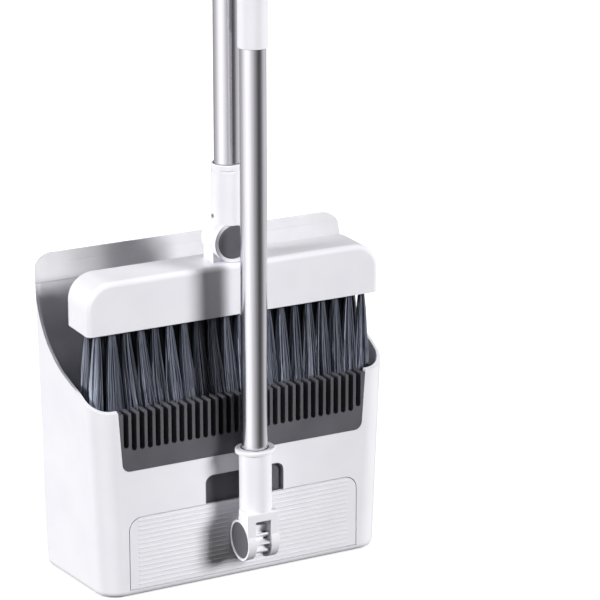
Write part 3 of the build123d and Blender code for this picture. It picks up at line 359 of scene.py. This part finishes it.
corners, faces, shades = made
tuft_mesh = bpy.data.meshes.new("bristle_tufts")
tuft_mesh.from_pydata(corners, [], faces)
tuft_mesh.polygons.foreach_set("use_smooth", np.ones(len(tuft_mesh.polygons), bool))
shade_layer = tuft_mesh.attributes.new("tone_and_painted_shade", "FLOAT", "POINT")
shade_layer.data.foreach_set("value", np.array(shades, np.float32))
tuft_mesh.materials.append(finishes["bristle_nylon"])
bristle_tufts = bpy.data.objects.new("bristle_tufts", tuft_mesh)
scene.collection.objects.link(bristle_tufts)
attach(bristle_tufts, "broom_head")
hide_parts("bristles")


# ---- floor -------------------------------------------------------------------------------

# It glows, so it shows pale and even, and it neither lights the object nor is mirrored in it.
FLOOR = 60.0  # half the floor's width
floor_mesh = bpy.data.meshes.new("floor")
floor_mesh.from_pydata(
    [(-FLOOR, -FLOOR, 0), (FLOOR, -FLOOR, 0), (FLOOR, FLOOR, 0), (-FLOOR, FLOOR, 0)],
    [],
    [(0, 1, 2, 3)],
)
floor = bpy.data.objects.new("floor", floor_mesh)
scene.collection.objects.link(floor)
floor_material, nodes, links, surface = new_material("floor")
surface.inputs["Base Color"].default_value = (0.60, 0.60, 0.605, 1)
surface.inputs["Roughness"].default_value = 0.75
surface.inputs["Specular IOR Level"].default_value = 0.0
surface.inputs["Emission Color"].default_value = (1, 1, 1, 1)
surface.inputs["Emission Strength"].default_value = 0.60
floor.data.materials.append(floor_material)
floor.visible_glossy = False
floor.visible_diffuse = False


# ---- studio light ------------------------------------------------------------------------

world = bpy.data.worlds.new("studio")
world.use_nodes = True
sky = world.node_tree.nodes["Background"]
sky.inputs["Color"].default_value = (1.0, 1.0, 1.0, 1)
sky.inputs["Strength"].default_value = 0.04
scene.world = world
scene.view_settings.view_transform = "Standard"

# A surrounding drum of light cards that only mirror-like reflections see.  Going round it, a
# wide bright card stands at the left front and a dark one at the right front.
DRUM_R = 3.2
DRUM_BOTTOM = -4.0
DRUM_TOP = 5.0
DRUM_SIDES = 120
CAMERA_AZIMUTH = -28.0

# Bearing from the camera's own direction (negative to the left), degrees, and brightness.
DRUM_LIGHT = [
    (-180, 0.35),
    (-140, 0.35),
    (-105, 0.55),
    (-75, 1.0),
    (-50, 1.35),
    (-25, 1.1),
    (0, 0.62),
    (25, 0.28),
    (48, 0.06),
    (70, 0.12),
    (100, 0.60),
    (130, 0.75),
    (150, 0.5),
    (180, 0.35),
]


def drum_light(bearing):
    """Brightness of the drum at a bearing, between the listed ones."""
    for (a, low), (b, high) in zip(DRUM_LIGHT, DRUM_LIGHT[1:]):
        if a <= bearing <= b:
            return low + (high - low) * (bearing - a) / (b - a)
    return DRUM_LIGHT[0][1]


corners = []
faces = []
light = []
for side in range(DRUM_SIDES):
    bearing = 360.0 * side / DRUM_SIDES - 180.0
    a = math.radians(CAMERA_AZIMUTH + bearing)
    for z in (DRUM_BOTTOM, DRUM_TOP):
        corners.append((DRUM_R * math.sin(a), -DRUM_R * math.cos(a), z))
        light.append(drum_light(bearing))
    b = 2 * ((side + 1) % DRUM_SIDES)
    faces.append((2 * side, b, b + 1, 2 * side + 1))
drum_mesh = bpy.data.meshes.new("light_drum")
drum_mesh.from_pydata(corners, [], faces)
light_layer = drum_mesh.attributes.new("light", "FLOAT", "POINT")
light_layer.data.foreach_set("value", np.array(light, np.float32))
drum_material = bpy.data.materials.new("light_drum")
drum_material.use_nodes = True
nodes = drum_material.node_tree.nodes
links = drum_material.node_tree.links
nodes.clear()
level = nodes.new("ShaderNodeAttribute")
level.attribute_name = "light"
glow = nodes.new("ShaderNodeEmission")
output = nodes.new("ShaderNodeOutputMaterial")
links.new(level.outputs["Fac"], glow.inputs["Strength"])
links.new(glow.outputs["Emission"], output.inputs["Surface"])
drum_mesh.materials.append(drum_material)
light_drum = bpy.data.objects.new("light_drum", drum_mesh)
scene.collection.objects.link(light_drum)
light_drum.visible_camera = False
light_drum.visible_diffuse = False
light_drum.visible_shadow = False
light_drum.visible_transmission = False


def sun(name, azimuth, elevation, strength, softness):
    """Soft parallel light from a bearing (0 is the front, -90 the left), not mirrored."""
    data = bpy.data.lights.new(name, "SUN")
    data.energy = strength
    data.angle = math.radians(softness)
    lamp = bpy.data.objects.new(name, data)
    lamp.rotation_euler = (math.radians(90 - elevation), 0, math.radians(azimuth))
    lamp.visible_glossy = False
    scene.collection.objects.link(lamp)


sun("front_right", 36, 22, 3.7, 18)
sun("left", -92, 18, 3.9, 24)
sun("top", 170, 42, 1.0, 20)


# ---- camera ------------------------------------------------------------------------------

CAMERA_PLACE = (-1.04143, -2.10788, 0.98158)
CAMERA_DIP = 17.765  # degrees below level
LENS = 177.167

camera_data = bpy.data.cameras.new("camera")
camera_data.lens = LENS
camera_data.sensor_width = 36.0
camera = bpy.data.objects.new("camera", camera_data)
camera.location = CAMERA_PLACE
camera.rotation_euler = (math.radians(90 - CAMERA_DIP), 0, math.radians(CAMERA_AZIMUTH))
scene.collection.objects.link(camera)
scene.camera = camera
